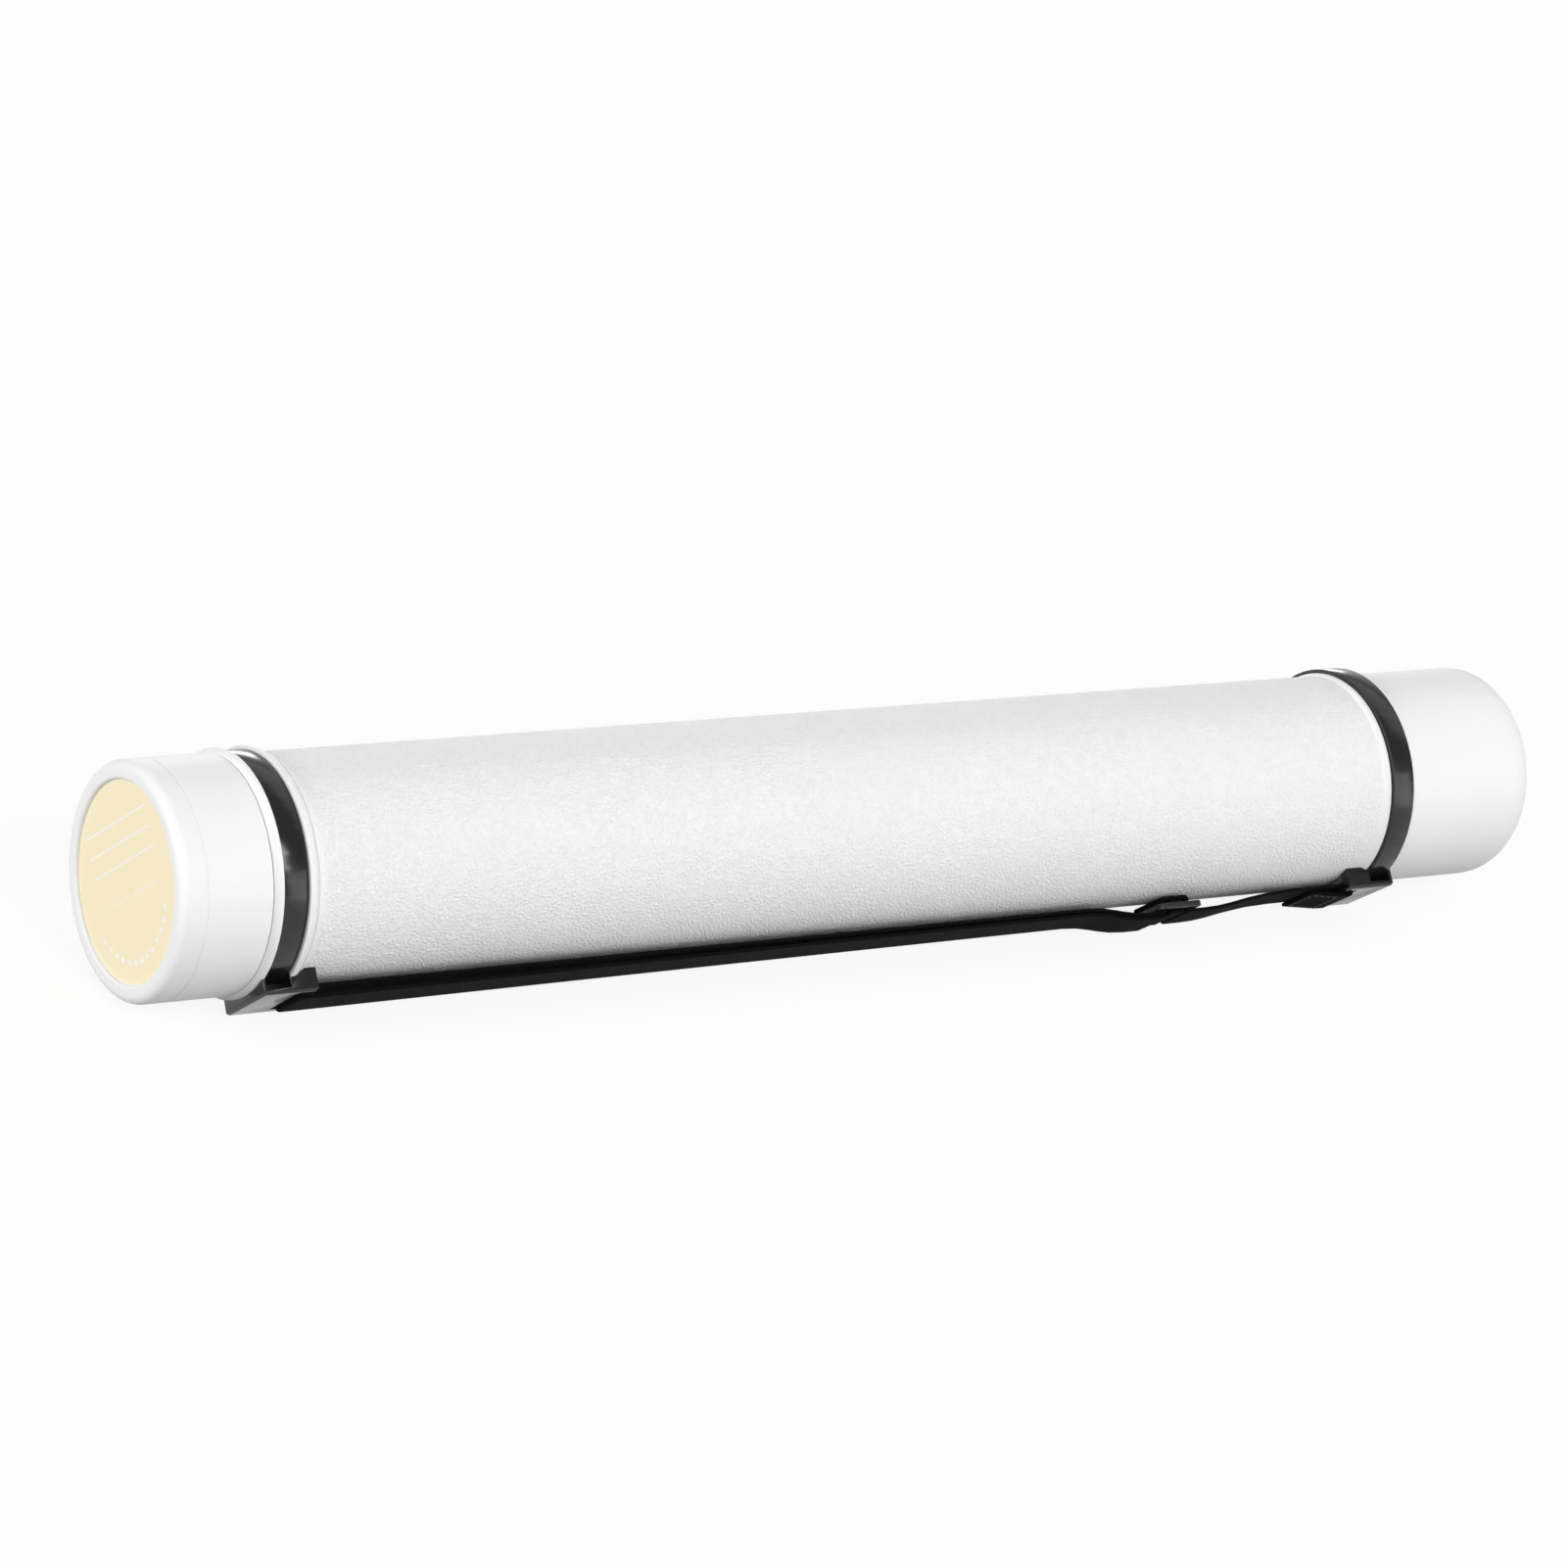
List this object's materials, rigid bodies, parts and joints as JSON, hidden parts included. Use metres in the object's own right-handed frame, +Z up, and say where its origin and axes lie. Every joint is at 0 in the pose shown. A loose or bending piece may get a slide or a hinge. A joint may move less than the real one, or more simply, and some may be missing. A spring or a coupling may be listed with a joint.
{
  "type": "poster tube",
  "caption": "Round white plastic tube for rolled posters, with a screw cap, a closed base, clamped black bands and an adjustable carrying strap.",
  "frame": {"origin": "centre of the closed base's flat outer face, on the tube's axis", "axes": "+X out of the base along the tube's axis, +Z up as the tube lies on a table, -Y the side that the strap brackets lean to"},
  "size_m": [0.6215, 0.0902, 0.0902],
  "materials": {
    "grained_plastic": "white moulded plastic with a fine leather grain",
    "smooth_plastic": "white moulded plastic, smooth satin",
    "label": "cream printed film",
    "black_plastic": "glossy black moulded plastic",
    "webbing": "black woven webbing",
    "slider_plastic": "black moulded plastic, satin"
  },
  "bodies": {
    "tube": {"tube_body": "grained_plastic", "front_band": "black_plastic", "rear_band": "black_plastic", "carrying_strap": "webbing"},
    "cap": {"screw_cap": "smooth_plastic", "cap_label": "label"},
    "slider": {"strap_slider": "slider_plastic"}
  },
  "joints": [
    {"name": "cap_off", "type": "slide", "parent": "tube", "child": "cap", "axis": [-1, 0, 0], "range_m": [0, 0.06]},
    {"name": "slider_slide", "type": "slide", "parent": "tube", "child": "slider", "axis": [-1, 0, 0], "range_m": [-0.05, 0.36], "deforming": ["carrying_strap"]}
  ]
}
